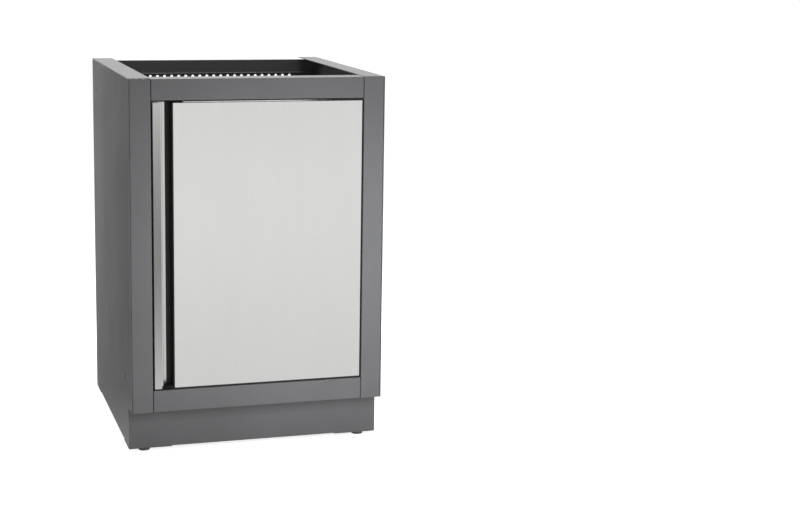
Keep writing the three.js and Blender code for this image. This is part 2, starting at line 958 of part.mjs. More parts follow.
// The fixed cabinet
const carcass = new THREE.Group();
carcass.add(
  piece("left_side_panel", sidePanel(), "frame"),
  mirroredPiece("right_side_panel", sidePanel(), "frame"),
  piece("left_stile", stile(true), "frame"),
  mirroredPiece("right_stile", stile(false), "frame"),
  piece("top_rail", topRail(), "frame"),
  piece("bottom_rail", bottomRail(), "frame"),
  piece("toe_kick_panel", toeKick(), "frame"),
  piece("back_panel", backPanel(), "frame"),
  piece("rear_top_rail", rearTopRail(), "frame"),
  piece("floor_panel", floorPanel(), "frame"),
  piece("shelf", shelf(), "frame"),
  piece("left_shelf_angle", shelfAngle(), "frame"),
  mirroredPiece("right_shelf_angle", shelfAngle(), "frame"),
  piece("catch_housing", catchHousing(), "nylon"),
  piece("catch_magnet", catchMagnet(), "magnet"),
  piece("upper_bumper", bumper(doorTop - bumperEnd), "rubber"),
  piece("lower_bumper", bumper(doorBottom + bumperEnd), "rubber"),
);

// Screws through the sides, with their heads let into the sheet
for (const [place, [y, z]] of Object.entries(sideScrews)) {
  for (const [hand, side] of [["left", -1], ["right", 1]]) {
    const fastener = piece(`${hand}_side_screw_${place}`, screw(sideScrewLength), "steel");
    fastener.rotation.y = side * (Math.PI / 2);
    fastener.position.set(side * (halfWidth - seat / 2), y, z);
    carcass.add(fastener);
  }
}

// Screws that hold the rails to the jambs, driven outwards from inside each rail
for (const [level, z] of [["top", railScrewHeights[0]], ["bottom", railScrewHeights[1]]]) {
  for (const [hand, side] of [["left", -1], ["right", 1]]) {
    const fastener = piece(`${level}_rail_screw_${hand}`, screw(screwLength), "steel");
    fastener.rotation.y = -side * (Math.PI / 2);
    fastener.position.set(side * (xRail - frameSheet - seat - screwHeadHeight), railScrewY, z);
    carcass.add(fastener);
  }
}

// The two fixed halves of the hinges: plate, pin and screws, the upper one turned over
for (const [level, z, turn, gap] of [
  ["lower", zBottomRail + seat, 1, doorBottomGap],
  ["upper", zTopRail - seat, -1, doorTopGap],
]) {
  const hinge = new THREE.Group();
  hinge.position.z = z;
  const plate = piece(`${level}_hinge_plate`, hingePlate(), "steel");
  const reach = gap - seat + pinReach;
  const pinBody = bar(pinRadius, pivotSides, "z", [0, 0], [0, reach]);
  const pin = piece(`${level}_hinge_pin`, pinBody, "steel");
  plate.scale.z = turn;
  pin.scale.z = turn;
  pin.position.set(pivotX, pivotY, 0);
  hinge.add(plate, pin);
  hingeScrewPlaces.forEach(([x, y], i) => {
    const fastener = piece(`${level}_hinge_screw_${i + 1}`, screw(screwLength), "steel");
    fastener.scale.z = turn;
    fastener.position.set(x, y, turn * (hingePlateThickness - seat / 2));
    hinge.add(fastener);
  });
  carcass.add(hinge);
}

// The door
const door = new THREE.Group();
const bushDepth = bushFlange + seat;
door.add(
  piece("door_skin", doorSkin(), "stainless"),
  piece("door_inner_panel", doorInner(), "stainless"),
  piece("handle_profile", handleProfile(), "stainless"),
  piece("handle_liner", handleLiner(), "liner"),
  piece("handle_end_cap", handleCap(), "liner"),
  piece("lower_pivot_block", pivotBlock(doorBottom + doorSheet + seat), "steel"),
  piece("upper_pivot_block", pivotBlock(doorTop - doorSheet - seat - blockHeight), "steel"),
  piece("strike_plate", strikePlate(), "steel"),
);
for (const [level, z, turn] of [
  ["lower", doorBottom - bushDepth, 1],
  ["upper", doorTop + bushDepth, -1],
]) {
  const bush = piece(`${level}_pivot_bush`, pivotBush(), "nylon");
  bush.scale.z = turn;
  bush.position.set(pivotX, pivotY, z);
  door.add(bush);
}
handleScrewPlaces.forEach(([x, z], i) => {
  const level = ["lower", "upper"][i];
  const fastener = piece(`handle_screw_${level}`, screw(handleScrewLength), "steel");
  fastener.rotation.x = -Math.PI / 2;
  fastener.position.set(x, yDoorRear + seat + screwHeadHeight, z);
  door.add(fastener);
});

// Feet and foot plates at the four corners
const feet = new THREE.Group();
const rows = {
  front: { span: [yToe, yToe + plateDepth], y: yToe + footBehindToe },
  rear: { span: [yRear - plateDepth, yRear], y: yRear - footInset },
};
for (const [row, { span, y }] of Object.entries(rows)) {
  for (const [hand, side] of [["left", -1], ["right", 1]]) {
    const plate = side < 0 ? piece : mirroredPiece;
    carcass.add(plate(`foot_plate_${row}_${hand}`, footPlate(span, y), "frame"));
    const foot = new THREE.Group();
    foot.position.set(side * (halfWidth - footInset), y, 0);
    foot.add(
      piece(`foot_pad_${row}_${hand}`, footPad(), "rubber"),
      piece(`foot_stud_${row}_${hand}`, footStud(), "steel"),
    );
    feet.add(foot);
  }
}

const cabinet = new THREE.Group();
cabinet.add(carcass, door, feet);

export default cabinet;
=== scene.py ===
# The looks of a single door base cabinet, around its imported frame.
# Metres, +Z up, the front faces -Y, and the origin is on the floor under the middle.
import json
import math

import bpy
from mathutils import Matrix, Vector


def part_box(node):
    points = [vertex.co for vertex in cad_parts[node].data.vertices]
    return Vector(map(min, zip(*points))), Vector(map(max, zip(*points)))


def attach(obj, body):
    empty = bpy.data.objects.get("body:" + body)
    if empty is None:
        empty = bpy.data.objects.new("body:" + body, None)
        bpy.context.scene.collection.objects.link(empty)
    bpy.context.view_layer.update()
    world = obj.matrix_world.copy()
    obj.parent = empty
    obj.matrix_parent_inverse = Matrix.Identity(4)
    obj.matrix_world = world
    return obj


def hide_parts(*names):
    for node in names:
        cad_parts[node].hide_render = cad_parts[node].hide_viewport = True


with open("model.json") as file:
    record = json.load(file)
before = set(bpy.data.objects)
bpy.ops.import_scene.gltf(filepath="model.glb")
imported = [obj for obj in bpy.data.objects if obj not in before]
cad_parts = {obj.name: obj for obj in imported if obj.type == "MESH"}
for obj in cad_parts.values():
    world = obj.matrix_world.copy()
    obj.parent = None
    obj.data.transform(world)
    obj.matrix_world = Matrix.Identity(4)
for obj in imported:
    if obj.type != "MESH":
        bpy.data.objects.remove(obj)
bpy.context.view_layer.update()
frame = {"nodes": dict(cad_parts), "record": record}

MM = 0.001

# Camera, from a fit to the corners of the cabinet in the photograph
CAMERA_PLACE = Vector((-0.839, -4.0527, 1.2133))
CAMERA_YAW = math.radians(17.652)
CAMERA_PITCH = math.radians(9.454)
CAMERA_ROLL = math.radians(0.922)
CAMERA_SHIFT = -0.05
FOCAL_PIXELS = 1639.4
PICTURE_WIDTH = 800
SENSOR_WIDTH = 36

# Colours, as linear values
POWDER = (0.128, 0.129, 0.133)
STAINLESS = (0.685, 0.68, 0.675)
# Handle: a painted reflection, darker half way up the face and lighter at its ends, and a painted
# highlight on its bend and rear flange
GRIP_REFLECTION_DARK = (0.20, 0.20, 0.198)
GRIP_REFLECTION_LIGHT = (0.52, 0.52, 0.515)
GRIP_PAINTED_HIGHLIGHT = (0.60, 0.60, 0.59)
GRIP_STREAK = (0.75, 0.75, 0.74)
BLACKENED = (0.045, 0.044, 0.043)
ZINC = (0.52, 0.52, 0.50)
# Screws in the sides: a dull flake coat, painted pale as a painted glint
FLAKE_AND_PAINTED_GLINT = (0.66, 0.66, 0.65)
BLACK_PLASTIC = (0.026, 0.025, 0.024)
CAP_PLASTIC = (0.008, 0.0078, 0.0075)
RUBBER = (0.105, 0.105, 0.108)
NYLON = (0.034, 0.034, 0.037)
FERRITE = (0.060, 0.060, 0.062)
FLOOR = (0.50, 0.50, 0.50)

# Handle: the height where its painted reflection is darkest, how far the darker part reaches, how
# deep the face goes, and where the painted highlight on the bend beside the finger gap starts
GRIP_MIDDLE = 0.52
GRIP_REACH = 0.35
GRIP_FACE_END = -0.3205
GRIP_BEND = -0.2322

# Door: its folded top edge keeps the smoother finish of the mill
DOOR_TOP = (0.8396, 0.8404)
SMOOTHER = -0.12

# Light: how bright the world is on matt surfaces, how bright the floor is to the camera near
# the cabinet and further off, and how bright it is in reflections, from far in front to behind,
# where it is painted darker as a painted shadow of the cabinet
WORLD_DIFFUSE = 0.12
GLOW_NEAR = 0.82
GLOW_FAR = 1.0
GLOW_REACH = (0.3, 4.0)
MIRRORED_FAR = 0.81
MIRRORED_LEAVING = (-9.5, -5.5)
MIRRORED_BEFORE = 1.1
MIRRORED_CLOSE = 0.93
MIRRORED_NEARING = (-3.4, -1.2)
# In reflections the floor behind the cabinet is painted darker, a painted shadow
MIRRORED_BEHIND = 0.13
MIRRORED_TURN = (-0.7, 0.3)

# Lamps: name, place, point aimed at, width and height, watts, and whether metal mirrors it
LAMPS = [
    ("front_box", (0.20, -1.05, 0.46), (0.18, -0.3, 0.46), (0.7, 0.6), 8.5, False),
    ("left_box", (-1.1, 1.35, 0.52), (-0.3, 0.2, 0.5), (0.8, 0.72), 26, False),
    ("right_box", (1.3, 1.2, 0.52), (0.3, 0.1, 0.5), (0.8, 0.72), 24, False),
    ("top_box", (0.0, 0.55, 3.3), (0.0, 0.3, 0.8), (2.0, 1.8), 118, True),
]


# Shader graphs; the numbers are the colour sockets of a Mix node, whose names repeat
MIX_FIRST, MIX_SECOND, MIX_RESULT = 6, 7, 2


class Graph:
    """Adds nodes to a material's tree and joins them."""

    def __init__(self, tree):
        self.tree = tree

    def add(self, kind, inputs=None, **settings):
        node = self.tree.nodes.new(kind)
        for name, value in settings.items():
            setattr(node, name, value)
        for name, value in (inputs or {}).items():
            if isinstance(value, bpy.types.NodeSocket):
                self.tree.links.new(value, node.inputs[name])
            else:
                node.inputs[name].default_value = value
        return node

    def place(self, stretch=(1, 1, 1)):
        """The point on the object, in metres, stretched along each axis."""
        coordinates = self.add("ShaderNodeTexCoord")
        inputs = {"Vector": coordinates.outputs["Object"], "Scale": stretch}
        return self.add("ShaderNodeMapping", inputs).outputs["Vector"]

    def noise(self, scale, detail, roughness, stretch=(1, 1, 1)):
        """Noise that rides on the object, from 0 to 1."""
        inputs = {
            "Vector": self.place(stretch),
            "Scale": scale,
            "Detail": detail,
            "Roughness": roughness,
        }
        return self.add("ShaderNodeTexNoise", inputs).outputs["Fac"]

    def spread(self, value, low, high, start=0.3, end=0.7):
        """A value from start to end, spread over low to high."""
        inputs = {
            "Value": value,
            "From Min": start,
            "From Max": end,
            "To Min": low,
            "To Max": high,
        }
        return self.add("ShaderNodeMapRange", inputs).outputs["Result"]

    def combine(self, first, second, operation="ADD"):
        """Two values added, or joined by another operation."""
        node = self.add("ShaderNodeMath", operation=operation)
        self.tree.links.new(first, node.inputs[0])
        if isinstance(second, bpy.types.NodeSocket):
            self.tree.links.new(second, node.inputs[1])
        else:
            node.inputs[1].default_value = second
        return node.outputs["Value"]

    def mix(self, share, first, second):
        """A blend of two colours, of which either may come from another node."""
        node = self.add("ShaderNodeMix", data_type="RGBA")
        self.tree.links.new(share, node.inputs[0])
        for socket, colour in ((MIX_FIRST, first), (MIX_SECOND, second)):
            if isinstance(colour, bpy.types.NodeSocket):
                self.tree.links.new(colour, node.inputs[socket])
            else:
                node.inputs[socket].default_value = (*colour, 1)
        return node.outputs[MIX_RESULT]

    def axis(self, name):
        """One coordinate of the point on the object, in metres."""
        coordinates = self.add("ShaderNodeTexCoord")
        parts = self.add("ShaderNodeSeparateXYZ", {"Vector": coordinates.outputs["Object"]})
        return parts.outputs[name]

    def lit_and_glowing(self, colour, glow):
        """A matt surface with some light of its own."""
        matt = self.add("ShaderNodeBsdfDiffuse", {"Color": (*colour, 1)})
        shine = self.add("ShaderNodeEmission", {"Color": (1, 1, 1, 1), "Strength": glow})
        both = self.add("ShaderNodeAddShader")
        self.tree.links.new(matt.outputs["BSDF"], both.inputs[0])
        self.tree.links.new(shine.outputs["Emission"], both.inputs[1])
        return both.outputs["Shader"]

    def bump(self, height, strength, distance):
        """Normals from a height, with the depth of its relief in metres."""
        inputs = {"Height": height, "Strength": strength, "Distance": distance}
        return self.add("ShaderNodeBump", inputs).outputs["Normal"]


def shaded(colour, share):
    """A colour made darker or lighter."""
    return tuple(min(1.0, channel * share) for channel in colour)


def new_material(name, metallic, **values):
    """A Principled material, its graph and its shader."""
    material = bpy.data.materials.new(name)
    material.use_nodes = True
    shader = material.node_tree.nodes["Principled BSDF"]
    shader.inputs["Metallic"].default_value = metallic
    for socket, value in values.items():
        shader.inputs[socket.replace("_", " ")].default_value = value
    return material, Graph(material.node_tree), shader


def join(graph, shader, **sockets):
    """Links values from the graph to sockets of the shader."""
    for socket, value in sockets.items():
        graph.tree.links.new(value, shader.inputs[socket.replace("_", " ")])


def powder_coat():
    """Charcoal powder coat: a fine orange peel, a faint speckle and a slightly uneven gloss."""
    material, graph, shader = new_material("powder_coat", 0.0, IOR=1.5, Specular_IOR_Level=0.35)
    speckle = graph.noise(scale=2600, detail=2, roughness=0.6)
    cloud = graph.noise(scale=7, detail=3, roughness=0.55)
    mixed = graph.combine(graph.spread(speckle, 0.0, 0.55), graph.spread(cloud, 0.0, 0.45))
    peel = graph.noise(scale=620, detail=2, roughness=0.45)
    fine = graph.noise(scale=1900, detail=2, roughness=0.5)
    height = graph.combine(peel, graph.combine(fine, 0.35, "MULTIPLY"))
    join(
        graph,
        shader,
        Base_Color=graph.mix(mixed, shaded(POWDER, 0.88), shaded(POWDER, 1.12)),
        Roughness=graph.spread(cloud, 0.34, 0.42),
        Normal=graph.bump(height, strength=0.35, distance=0.05 * MM),
    )
    return material


def brush_marks(graph):
    """Long fine scratches along Z, and wide faint bands of them."""
    hair = graph.noise(scale=26, detail=4, roughness=0.65, stretch=(60, 60, 1))
    band = graph.noise(scale=5, detail=2, roughness=0.5, stretch=(6, 6, 1))
    return hair, graph.combine(graph.spread(hair, 0.0, 0.6), graph.spread(band, 0.0, 0.4))


def brushed_stainless():
    """Door steel, brushed upright, with scratches of uneven length and a faint cloud."""
    material, graph, shader = new_material("brushed_stainless", 1.0, Anisotropic=0.55)
    hair, marks = brush_marks(graph)
    cloud = graph.noise(scale=3.2, detail=2, roughness=0.5)
    tone = graph.combine(graph.combine(marks, 0.6, "MULTIPLY"), graph.spread(cloud, 0.0, 0.4))
    tangent = graph.add("ShaderNodeTangent", direction_type="RADIAL", axis="Z")
    satin = graph.combine(graph.spread(hair, 0.26, 0.32), graph.spread(cloud, -0.02, 0.02))
    folded = graph.spread(graph.axis("Z"), 0.0, SMOOTHER, *DOOR_TOP)
    join(
        graph,
        shader,
        Base_Color=graph.mix(tone, shaded(STAINLESS, 0.965), shaded(STAINLESS, 1.035)),
        Roughness=graph.combine(satin, folded),
        Normal=graph.bump(hair, strength=0.07, distance=0.012 * MM),
        Tangent=tangent.outputs["Tangent"],
    )
    return material


def grip_stainless():
    """Handle steel: a painted reflection, lighter at both ends of the face and darker half way up,
    and a painted highlight on the bend and the flange behind the face.
    """
    material, graph, shader = new_material("grip_stainless", 1.0, Anisotropic=0.4)
    hair, marks = brush_marks(graph)
    height = graph.axis("Z")
    # Painted reflection: the face runs from darker half way up to lighter at both ends
    away = graph.combine(graph.combine(height, -GRIP_MIDDLE), 1 / GRIP_REACH, "MULTIPLY")
    lighter_reflection = graph.spread(graph.combine(away, 2.0, "POWER"), 0.0, 1.0, 0.0, 1.0)
    face = graph.mix(lighter_reflection, GRIP_REFLECTION_DARK, GRIP_REFLECTION_LIGHT)
    # Painted highlight: the flange behind the face and the bend beside the finger gap are painted
    # lighter
    behind = graph.spread(graph.axis("Y"), 0.0, 1.0, GRIP_FACE_END, GRIP_FACE_END + 2 * MM)
    bend_highlight = graph.spread(graph.axis("X"), 0.0, 1.0, GRIP_BEND, GRIP_BEND + MM)
    face_with_highlights = graph.mix(graph.combine(behind, bend_highlight, "MAXIMUM"), face, GRIP_PAINTED_HIGHLIGHT)
    streaked = graph.mix(graph.spread(marks, 0.0, 0.16, 0.0, 1.0), face_with_highlights, GRIP_STREAK)
    join(
        graph,
        shader,
        Base_Color=streaked,
        Roughness=graph.spread(hair, 0.28, 0.38),
        Normal=graph.bump(hair, strength=0.12, distance=0.015 * MM),
    )
    return material


def blackened_steel():
    """Black-finished hinge steel: a cloudy oil film over fine machining marks."""
    material, graph, shader = new_material("blackened_steel", 0.85)
    film = graph.noise(scale=90, detail=3, roughness=0.6)
    marks = graph.noise(scale=40, detail=3, roughness=0.6, stretch=(1, 1, 60))
    join(
        graph,
        shader,
        Base_Color=graph.mix(film, shaded(BLACKENED, 0.75), shaded(BLACKENED, 1.3)),
        Roughness=graph.spread(film, 0.38, 0.52),
        Normal=graph.bump(marks, strength=0.1, distance=0.02 * MM),
    )
    return material


def zinc_steel():
    """Zinc-plated steel: a faint crystal mottle and handling marks."""
    material, graph, shader = new_material("zinc_steel", 1.0)
    crystals = graph.add("ShaderNodeTexVoronoi", {"Vector": graph.place(), "Scale": 900})
    mottle = graph.noise(scale=160, detail=3, roughness=0.6)
    mixed = graph.combine(
        graph.spread(crystals.outputs["Distance"], 0.0, 0.35, 0.1, 0.8),
        graph.spread(mottle, 0.0, 0.65),
    )
    join(
        graph,
        shader,
        Base_Color=graph.mix(mixed, shaded(ZINC, 0.8), shaded(ZINC, 1.1)),
        Roughness=graph.spread(mottle, 0.26, 0.42),
        Normal=graph.bump(mottle, strength=0.08, distance=0.05 * MM),
    )
    return material


def flake_and_painted_glint():
    """The dull flake coat of the screws in the sides, with a fine grain, painted pale as a painted
    glint on their heads.
    """
    material, graph, shader = new_material("flake_and_painted_glint", 0.35)
    grain = graph.noise(scale=1400, detail=3, roughness=0.6)
    join(
        graph,
        shader,
        Base_Color=graph.mix(grain, shaded(FLAKE_AND_PAINTED_GLINT, 0.85), shaded(FLAKE_AND_PAINTED_GLINT, 1.1)),
        Roughness=graph.spread(grain, 0.4, 0.55),
        Normal=graph.bump(grain, strength=0.15, distance=0.02 * MM),
    )
    return material


def moulded(name, colour, roughness, grain, depth, shine=0.5):
    """Moulded plastic or rubber, with a fine etched grain."""
    material, graph, shader = new_material(name, 0.0, IOR=1.48, Specular_IOR_Level=shine)
    etched = graph.noise(scale=grain, detail=3, roughness=0.55)
    cloud = graph.noise(scale=22, detail=3, roughness=0.6)
    join(
        graph,
        shader,
        Base_Color=graph.mix(cloud, shaded(colour, 0.8), shaded(colour, 1.25)),
        Roughness=graph.spread(etched, roughness - 0.06, roughness + 0.06),
        Normal=graph.bump(etched, strength=0.3, distance=depth),
    )
    return material


looks = {
    "frame": powder_coat(),
    "door": brushed_stainless(),
    "steel": zinc_steel(),
    "liner": moulded(
        "black_liner", BLACK_PLASTIC, roughness=0.66, grain=1500, depth=0.04 * MM, shine=0.2
    ),
    "rubber": moulded("rubber", RUBBER, roughness=0.78, grain=900, depth=0.08 * MM),
    "nylon": moulded("nylon", NYLON, roughness=0.52, grain=1200, depth=0.05 * MM),
    "magnet": moulded("ferrite", FERRITE, roughness=0.42, grain=700, depth=0.05 * MM),
}
hinge_look = blackened_steel()
side_screw_painted_glint_look = flake_and_painted_glint()
node_looks = {
    "handle_profile": grip_stainless(),
    "handle_end_cap": moulded(
        "black_cap", CAP_PLASTIC, roughness=0.7, grain=1500, depth=0.04 * MM, shine=0.15
    ),
    "lower_hinge_plate": hinge_look,
    "upper_hinge_plate": hinge_look,
}


# CAD pieces: their own shape, with eased edges and a finish
EDGE_WIDTHS = {"frame": 0.30 * MM, "door": 0.22 * MM, "steel": 0.15 * MM, "liner": 0.2 * MM}
PLAIN_EDGE = 0.2 * MM
EDGE_ANGLE = math.radians(33)
EDGE_SEGMENTS = 2
NORMAL_WEIGHT = 100
FLAT_ANGLE = math.radians(0.4)
WELD_DISTANCE = 0.002 * MM


def eased(piece, width):
    """Rounds a piece's edges and weights its normals by the size of its faces."""
    edges = piece.modifiers.new("edges", "BEVEL")
    edges.width = width
    edges.segments = EDGE_SEGMENTS
    edges.limit_method = "ANGLE"
    edges.angle_limit = EDGE_ANGLE
    piece.modifiers.new("normals", "WEIGHTED_NORMAL").weight = NORMAL_WEIGHT


def dress(node, slot):
    """Gives a CAD node its finish, rounds its sheet edges and smooths its bends."""
    piece = frame["nodes"][node]
    piece.material_slots[0].material = node_looks.get(node, looks[slot])
    with bpy.context.temp_override(object=piece, active_object=piece):
        bpy.ops.mesh.customdata_custom_splitnormals_clear()
    piece.data.polygons.foreach_set("use_smooth", [True] * len(piece.data.polygons))
    weld = piece.modifiers.new("weld", "WELD")
    weld.merge_threshold = WELD_DISTANCE
    planes = piece.modifiers.new("planes", "DECIMATE")
    planes.decimate_type = "DISSOLVE"
    planes.angle_limit = FLAT_ANGLE
    eased(piece, EDGE_WIDTHS.get(slot, PLAIN_EDGE))


slots = {row["node"]: row["material_slot"] for row in frame["record"]["subparts"]}
bodies = {
    node: body
    for body, nodes in frame["record"]["behaviour"]["bodies"].items()
    for node in nodes
}
for node, slot in slots.items():
    dress(node, slot)


# Small parts: finer shapes in place of the plain CAD ones, each within its solid. A thread's
# ridge rises with a slope, from a flat valley to a flat crest, in a few rings for each turn.
SMALL_EDGE = math.radians(38)
RIDGE_SLOPE = 1.35
RIDGE_VALLEY = 0.12
THREAD_STEPS = 8


def millimetres(pairs):
    """Pairs of millimetres, in metres."""
    return [(first * MM, second * MM) for first, second in pairs]


def spun(name, profile, steps, shape=None, closed=False):
    """A mesh turned about Z from (radius, height) pairs, out and up; shape may vary the radius."""
    points, rings, faces = [], [], []
    for radius, height in profile:
        if radius == 0:
            points.append((0, 0, height))
            rings.append([len(points) - 1] * steps)
            continue
        rings.append(range(len(points), len(points) + steps))
        for i in range(steps):
            angle = 2 * math.pi * i / steps
            reach = shape(radius, height, angle) if shape else radius
            points.append((reach * math.cos(angle), reach * math.sin(angle), height))
    pairs = list(zip(rings, rings[1:]))
    if closed:
        pairs.append((rings[-1], rings[0]))
    for lower, upper in pairs:
        for i in range(steps):
            j = (i + 1) % steps
            faces.append(tuple(dict.fromkeys((lower[i], lower[j], upper[j], upper[i]))))
    return finished_mesh(name, points, faces)


def smoothed(mesh):
    """A mesh shaded smooth, apart from its sharp edges."""
    mesh.shade_smooth()
    mesh.set_sharp_from_angle(angle=SMALL_EDGE)
    return mesh


def finished_mesh(name, points, faces):
    mesh = bpy.data.meshes.new(name)
    mesh.from_pydata(points, [], faces)
    return smoothed(mesh)


def prism(name, low_outline, high_outline, low, high):
    """A closed mesh between two outlines in XY, at two heights."""
    count = len(low_outline)
    points = [(x, y, low) for x, y in low_outline] + [(x, y, high) for x, y in high_outline]
    faces = [tuple(reversed(range(count))), tuple(range(count, 2 * count))]
    for i in range(count):
        j = (i + 1) % count
        faces.append((i, j, count + j, count + i))
    return finished_mesh(name, points, faces)


def carved(name, mesh, cutter):
    """A mesh with the shape of another cut out of it."""
    body = bpy.data.objects.new("body", mesh)
    tool = bpy.data.objects.new("tool", cutter)
    for holder in (body, tool):
        bpy.context.scene.collection.objects.link(holder)
    cut = body.modifiers.new("cut", "BOOLEAN")
    cut.operation = "DIFFERENCE"
    cut.solver = "EXACT"
    cut.object = tool
    ready = body.evaluated_get(bpy.context.evaluated_depsgraph_get())
    made = smoothed(bpy.data.meshes.new_from_object(ready))
    made.name = name
    for holder in (body, tool):
        bpy.data.objects.remove(holder)
    return made


def thread(root, crest, pitch, low, high):
    """A shape for spun() that winds a thread round the shank between two heights."""

    def shape(radius, height, angle):
        if not low < height < high or radius > crest:
            return radius
        phase = (height / pitch - angle / (2 * math.pi)) % 1
        rise = RIDGE_SLOPE * (1 - abs(2 * phase - 1)) - RIDGE_VALLEY
        ridge = min(1.0, max(0.0, rise))
        lead = min(height - low, high - height)
        return min(root + (crest - root) * ridge, root + lead)

    return shape


def rings_between(radius, low, high, step):
    """Rings of one radius, about a step apart."""
    count = round((high - low) / step)
    return [(radius, low + (high - low) * i / count) for i in range(count + 1)]


# Screws with a domed head, a cross recess and a fine thread. The first ring is measured up
# from the tip; the last ring, the thread's end and the neck are measured down from the head.
HEAD_HEIGHT = 0.9 * MM
SCREW_ROOT = 1.55 * MM
SCREW_CREST = 1.95 * MM
SCREW_PITCH = 0.7 * MM
SCREW_TIP = SCREW_ROOT - 0.3 * MM
FIRST_RING = 0.15 * MM
LAST_RING = 0.2 * MM
THREAD_END = 0.15 * MM
NECK = 0.1 * MM
HEAD_PROFILE = [
    (2.1, -0.9), (3.3, -0.9), (3.5, -0.76), (3.5, -0.6),
    (3.3, -0.4), (2.7, -0.2), (1.5, -0.05), (0, 0),
]
CROSS_FLOOR = (0.7 * MM, 0.2 * MM)
CROSS_MOUTH = (1.95 * MM, 0.42 * MM)
CROSS_SPAN = (-1.15 * MM, 0.2 * MM)
TURN_BETWEEN_SCREWS = 0.83


def cross(reach, half):
    """The outline of a cross with arms of a given reach and half width."""
    corner = [(reach, -half), (reach, half), (half, half)]
    turns = [(1, 0), (0, 1), (-1, 0), (0, -1)]
    return [(x * c - y * s, x * s + y * c) for c, s in turns for x, y in corner]


def screw_mesh(length):
    """A screw of a given length, its head's top at the origin."""
    low, high = -length, -HEAD_HEIGHT
    profile = [(0, low), (SCREW_TIP, low)]
    step = SCREW_PITCH / THREAD_STEPS
    profile += rings_between(SCREW_CREST, low + FIRST_RING, high - LAST_RING, step)
    profile += [(SCREW_ROOT, high - NECK)] + millimetres(HEAD_PROFILE)
    shape = thread(SCREW_ROOT, SCREW_CREST, SCREW_PITCH, low, high - THREAD_END)
    blank = spun("screw_blank", profile, steps=24, shape=shape)
    recess = prism("recess", cross(*CROSS_FLOOR), cross(*CROSS_MOUTH), *CROSS_SPAN)
    return carved(f"screw_{round(length / MM * 10)}", blank, recess)


def towards(node):
    """The direction that a screw's head faces."""
    if "_side_screw_" in node:
        return Vector((-1, 0, 0)) if node.startswith("left") else Vector((1, 0, 0))
    if "_rail_screw_" in node:
        return Vector((1, 0, 0)) if node.endswith("left") else Vector((-1, 0, 0))
    if node.startswith("handle_screw"):
        return Vector((0, 1, 0))
    return Vector((0, 0, 1)) if node.startswith("lower") else Vector((0, 0, -1))


def span_along(node, way):
    """The node's far end along a direction, and its length along it."""
    low, high = (Vector(corner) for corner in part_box(node))
    middle = (low + high) / 2
    length = abs((high - low).dot(way))
    return middle + way * length / 2, length


def stand_in(name, mesh, look, node, place, way=Vector((0, 0, 1)), turn=0.0):
    """A piece in place of a node, with its own Z along a direction."""
    piece = bpy.data.objects.new(name, mesh)
    if not mesh.materials:
        mesh.materials.append(look)
    facing = Vector((0, 0, 1)).rotation_difference(way).to_matrix().to_4x4()
    piece.matrix_world = Matrix.Translation(place) @ facing @ Matrix.Rotation(turn, 4, "Z")
    bpy.context.scene.collection.objects.link(piece)
    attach(piece, bodies[node])
    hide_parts(node)
    return piece


screw_meshes = {}
for i, node in enumerate(name for name in slots if "_screw" in name):
    way = towards(node)
    head, length = span_along(node, way)
    look = looks["steel"]
    if "_hinge_" in node:
        look = hinge_look
    # The screws in the sides get the pale painted glint
    elif "_side_" in node:
        look = side_screw_painted_glint_look
    kind = (round(length, 5), look.name)
    if kind not in screw_meshes:
        screw_meshes[kind] = screw_mesh(length)
    stand_in(f"{node}_fine", screw_meshes[kind], look, node, head, way, TURN_BETWEEN_SCREWS * i)


# Levelling feet: a threaded stud with a hexagon socket, in a fluted pad
STUD_ROOT = 4.15 * MM
STUD_CREST = 4.95 * MM
STUD_PITCH = 1.5 * MM
STUD_END = STUD_ROOT - 0.6 * MM
STUD_CHAMFER = 0.1 * MM
SOCKET_RADIUS = 2.3 * MM
SOCKET_DEPTH = 5 * MM
PAD_RADIUS = 13.75 * MM
PAD_PROFILE = [
    (0, 0.6), (3.5, 0.6), (4.0, 0), (6.0, 0), (6.4, 0.5), (7.6, 0.5), (8.0, 0), (10.0, 0),
    (10.4, 0.5), (11.6, 0.5), (12.0, 0), (12.9, 0), (13.5, 0.25), (13.75, 0.9), (13.75, 1.4),
    (13.75, 1.9), (13.75, 4.9), (13.75, 5.4), (13.75, 6.1), (13.5, 6.7), (12.9, 7.0), (9.7, 7.0),
    (9.3, 6.6), (8.3, 6.6), (7.9, 7.0), (5.8, 7.0), (5.4, 6.7), (5.3, 6.4), (5.3, 3.8), (0, 3.8),
]
FLUTES = 24
FLUTE_DEPTH = 0.45 * MM
FLUTE_SPAN = (1.5 * MM, 5.2 * MM)


def polygon(radius, sides):
    angles = [2 * math.pi * i / sides for i in range(sides)]
    return [(radius * math.cos(angle), radius * math.sin(angle)) for angle in angles]


def stud_mesh(length):
    """A stud of a given length that stands on the origin."""
    profile = [(0, 0), (STUD_END, 0)]
    step = STUD_PITCH / THREAD_STEPS
    profile += rings_between(STUD_CREST, STUD_CHAMFER, length - STUD_CHAMFER, step)
    profile += [(STUD_END, length), (0, length)]
    shape = thread(STUD_ROOT, STUD_CREST, STUD_PITCH, 0, length)
    blank = spun("stud_blank", profile, steps=40, shape=shape)
    hexagon = polygon(SOCKET_RADIUS, 6)
    socket = prism("socket", hexagon, hexagon, length - SOCKET_DEPTH, length + MM)
    return carved("foot_stud", blank, socket)


def fluted(radius, height, angle):
    """The pad's radius, less the grooves round its rim."""
    if radius < PAD_RADIUS or not FLUTE_SPAN[0] < height < FLUTE_SPAN[1]:
        return radius
    return radius - FLUTE_DEPTH * max(0.0, math.cos(FLUTES * angle)) ** 2


pad = spun("foot_pad", millimetres(PAD_PROFILE), steps=144, shape=fluted)
stud = None
for node in slots:
    if node.startswith("foot_stud_"):
        top, length = span_along(node, Vector((0, 0, 1)))
        stud = stud or stud_mesh(length)
        stand_in(f"{node}_fine", stud, looks["steel"], node, top - Vector((0, 0, length)))
    if node.startswith("foot_pad_"):
        top, length = span_along(node, Vector((0, 0, 1)))
        stand_in(f"{node}_fine", pad, looks["rubber"], node, top - Vector((0, 0, length)))


